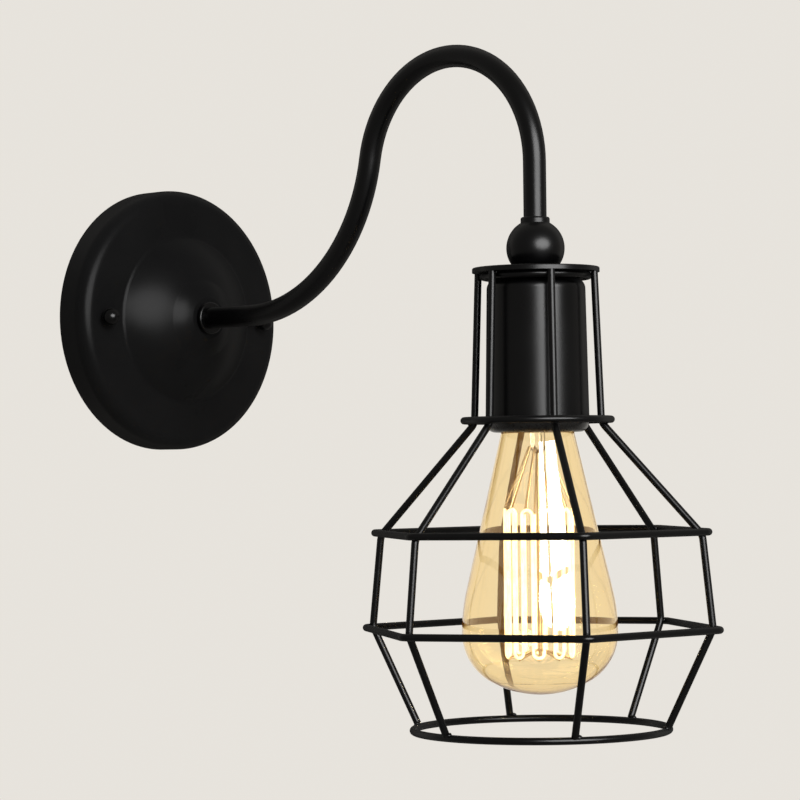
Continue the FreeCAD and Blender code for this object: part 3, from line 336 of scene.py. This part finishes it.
def dress(obj, slot):
    obj.data.materials.clear()
    obj.data.materials.append(finishes[slot])


slot_of = {row["node"]: row["material_slot"] for row in frame["record"]["subparts"]}
SHARP_EDGE = math.radians(32)
for node, obj in nodes.items():
    dress(obj, slot_of[node])
    obj.data.shade_smooth()
    obj.data.set_sharp_from_angle(angle=SHARP_EDGE)
# The canopy takes the lighter copy of the coat: painted light.
nodes["canopy"].data.materials[0] = matte_lit_coat


# ---- pieces made here --------------------------------------------------------------------
def piece(name, mesh, slot, body, *stands_for):
    """Put a finished mesh into the scene, riding on its body."""
    obj = bpy.data.objects.new(name, mesh)
    bpy.context.scene.collection.objects.link(obj)
    dress(obj, slot)
    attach(obj, body)
    if stands_for:
        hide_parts(*stands_for)
    return obj


def mesh_from(shape, name):
    mesh = bpy.data.meshes.new(name)
    shape.to_mesh(mesh)
    shape.free()
    mesh.shade_smooth()
    return mesh


def closest_spot(node, other):
    """The middle of the narrowest gap between two nodes, and its direction."""
    tree = BVHTree.FromObject(nodes[other], bpy.context.evaluated_depsgraph_get())
    best = None
    for vertex in nodes[node].data.vertices:
        near, normal, index, gap = tree.find_nearest(vertex.co)
        if best is None or gap < best[0]:
            best = (gap, (near + vertex.co) / 2, normal)
    return best[1], best[2]


WELD_WIDE = 1.35 * MM
WELD_FLAT = 0.95 * MM
WELD_ROUGH = 0.12 * MM
WELD_GRAIN = 900
WIRES = ["cage_wire_%d" % (i + 1) for i in range(6)]
RINGS = ["cage_%s_ring" % place for place in ("top", "neck", "upper", "lower", "bottom")]


def weld_beads():
    """A small bead of weld metal where each wire meets each ring."""
    shape = bmesh.new()
    for wire in WIRES:
        for ring in RINGS:
            spot, normal = closest_spot(wire, ring)
            turn = normal.to_track_quat("Z", "Y").to_matrix().to_4x4()
            size = Matrix.Diagonal((WELD_WIDE, WELD_WIDE, WELD_FLAT, 1))
            made = bmesh.ops.create_icosphere(
                shape, subdivisions=3, radius=1.0, matrix=Matrix.Translation(spot) @ turn @ size)
            for vertex in made["verts"]:
                lift = noise.noise(vertex.co * WELD_GRAIN) * WELD_ROUGH
                vertex.co += (vertex.co - spot).normalized() * lift
    return mesh_from(shape, "weld_beads")


piece("weld_beads", weld_beads(), "black_powder_coat", "fixture")


# ---- rolled threads of the bulb's cap and of the shell that holds it ---------------------
THREAD_PITCH = 3.62 * MM
THREAD_DEPTH = 1.0 * MM
THREAD_FADE = 1.6 * MM         # length over which a thread runs out
THREAD_FIT = 0.3 * MM
ROW_STEP = 0.3 * MM
AROUND = 120
CAP_CREST = 13.2 * MM
CAP_SHEET = 0.4 * MM
CAP_HOLE = 8.45 * MM
CAP_SHOULDER = 2.7 * MM        # height of the cone above the thread
CAP_FLARE = 3.2 * MM           # height of the wider rim below it
SHELL_HOLE = 9.0 * MM


def node_box(name):
    corners = [nodes[name].matrix_world @ vertex.co for vertex in nodes[name].data.vertices]
    low = Vector(min(corner[i] for corner in corners) for i in range(3))
    high = Vector(max(corner[i] for corner in corners) for i in range(3))
    return low, high


def rolled_rows(radius, start, end):
    """Rows down or up a rolled thread: radius, height and share of the thread's depth."""
    count = max(2, round(abs(end - start) / ROW_STEP))
    rows = []
    for i in range(count + 1):
        height = start + (end - start) * i / count
        inside = min(abs(height - start), abs(end - height)) / THREAD_FADE
        rows.append((radius, height, min(1.0, inside)))
    return rows


def rolled_skin(name, axis, rows):
    """Close the rows into a turned skin whose rolled rows carry a helix."""
    shape = bmesh.new()
    rings = []
    for radius, height, share in rows:
        ring = []
        for i in range(AROUND):
            angle = 2 * math.pi * i / AROUND
            wave = 0.5 - 0.5 * math.cos(2 * math.pi * height / THREAD_PITCH - angle)
            reach = radius - share * THREAD_DEPTH * wave
            spot = (axis.x + reach * math.cos(angle), axis.y + reach * math.sin(angle), height)
            ring.append(shape.verts.new(spot))
        rings.append(ring)
    for ring, following in zip(rings, rings[1:] + rings[:1]):
        for i in range(AROUND):
            after = (i + 1) % AROUND
            shape.faces.new((ring[i], following[i], following[after], ring[after]))
    bmesh.ops.recalc_face_normals(shape, faces=shape.faces)
    mesh = mesh_from(shape, name)
    mesh.set_sharp_from_angle(angle=SHARP_EDGE)
    return mesh


def threaded_cap():
    low, high = node_box("bulb_cap")
    rim = (high.x - low.x) / 2
    shoulder = high.z - CAP_SHOULDER
    flare = low.z + CAP_FLARE
    outer = [(CAP_HOLE, high.z, 0)] + rolled_rows(CAP_CREST, shoulder, flare) + [(rim, low.z, 0)]
    inner = [(rim - CAP_SHEET, low.z, 0)]
    inner += rolled_rows(CAP_CREST - CAP_SHEET, flare, shoulder - CAP_SHEET)
    inner.append((CAP_HOLE, high.z - CAP_SHEET, 0))
    return rolled_skin("threaded_cap", (low + high) / 2, outer + inner)


def threaded_shell():
    low, high = node_box("screw_shell")
    outside = (high.x - low.x) / 2
    inside = CAP_CREST + THREAD_FIT
    floor = high.z - (outside - inside)
    rows = [(SHELL_HOLE, high.z, 0)] + rolled_rows(outside, high.z, low.z)
    rows += rolled_rows(inside, low.z, floor) + [(SHELL_HOLE, floor, 0)]
    return rolled_skin("threaded_shell", (low + high) / 2, rows)


piece("threaded_cap", threaded_cap(), "bulb_brass", "bulb", "bulb_cap")
piece("threaded_shell", threaded_shell(), "terminal_brass", "fixture", "screw_shell")


# ---- studio, world and floor -------------------------------------------------------------
def seen_or_lit(tree, seen, lit):
    """A shader that shows one thing to the camera, mirrors and glass, and lights with another."""
    path = tree.add("ShaderNodeLightPath")
    first = tree.add("ShaderNodeMath", operation="MAXIMUM")
    tree.link(path.outputs["Is Camera Ray"], first.inputs[0])
    tree.link(path.outputs["Is Glossy Ray"], first.inputs[1])
    second = tree.add("ShaderNodeMath", operation="MAXIMUM")
    tree.link(first.outputs[0], second.inputs[0])
    tree.link(path.outputs["Is Transmission Ray"], second.inputs[1])
    mix = tree.add("ShaderNodeMixShader")
    tree.link(second.outputs[0], mix.inputs["Fac"])
    tree.link(lit, mix.inputs[1])
    tree.link(seen, mix.inputs[2])
    return mix.outputs["Shader"]


def make_world():
    world = bpy.data.worlds.new("studio")
    bpy.context.scene.world = world
    tree = Tree(world)
    tree.nodes.clear()
    seen = tree.add("ShaderNodeBackground", Color=(*BACKGROUND, 1), Strength=1.0)
    lit = tree.add("ShaderNodeBackground", Color=(1, 1, 1, 1), Strength=WORLD_LIGHT)
    output = tree.add("ShaderNodeOutputWorld")
    tree.link(seen_or_lit(tree, seen.outputs[0], lit.outputs[0]), output.inputs["Surface"])


def make_floor():
    """A pale disc under the object that fades out at its edge and is clear from below."""
    shape = bmesh.new()
    bmesh.ops.create_circle(shape, cap_ends=True, segments=96, radius=FLOOR_RADIUS)
    floor = bpy.data.objects.new("floor", mesh_from(shape, "floor"))
    low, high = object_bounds()
    floor.location = ((low.x + high.x) / 2, (low.y + high.y) / 2, FLOOR_HEIGHT)
    bpy.context.scene.collection.objects.link(floor)
    material = bpy.data.materials.new("floor")
    tree = Tree(material)
    shader = tree.nodes["Principled BSDF"]
    shader.inputs["Base Color"].default_value = (*BACKGROUND, 1)
    shader.inputs["Roughness"].default_value = 0.9
    shader.inputs["Specular IOR Level"].default_value = 0.0
    place = tree.add("ShaderNodeTexCoord")
    length = tree.add("ShaderNodeVectorMath", operation="LENGTH")
    tree.link(place.outputs["Object"], length.inputs[0])
    fade = tree.spread(length.outputs["Value"], 1.0, 0.0, FLOOR_CLEAR, FLOOR_RADIUS)
    side = tree.add("ShaderNodeNewGeometry")
    above = tree.spread(side.outputs["Backfacing"], 1.0, 0.0, 0.0, 1.0)
    solid = tree.add("ShaderNodeMath", operation="MULTIPLY")
    tree.link(fade, solid.inputs[0])
    tree.link(above, solid.inputs[1])
    clear = tree.add("ShaderNodeBsdfTransparent")
    mix = tree.add("ShaderNodeMixShader")
    tree.link(solid.outputs[0], mix.inputs["Fac"])
    tree.link(clear.outputs[0], mix.inputs[1])
    tree.link(shader.outputs[0], mix.inputs[2])
    tree.link(mix.outputs[0], tree.nodes["Material Output"].inputs["Surface"])
    floor.data.materials.append(material)


make_camera()
key = area_light("key", azimuth=-12, elevation=30, distance=1.8, size=0.8, watts=22)
key.visible_glossy = False
window = area_light(
    "window", azimuth=-19, elevation=15, distance=1.6, size=1.6, watts=150, height=1.05)
window.data.shape = "ELLIPSE"
window.visible_diffuse = False
back = area_light("back", azimuth=180, elevation=60, distance=2.4, size=1.4, watts=6)
back.visible_glossy = False
make_world()
make_floor()

bpy.context.scene.view_settings.view_transform = "Standard"
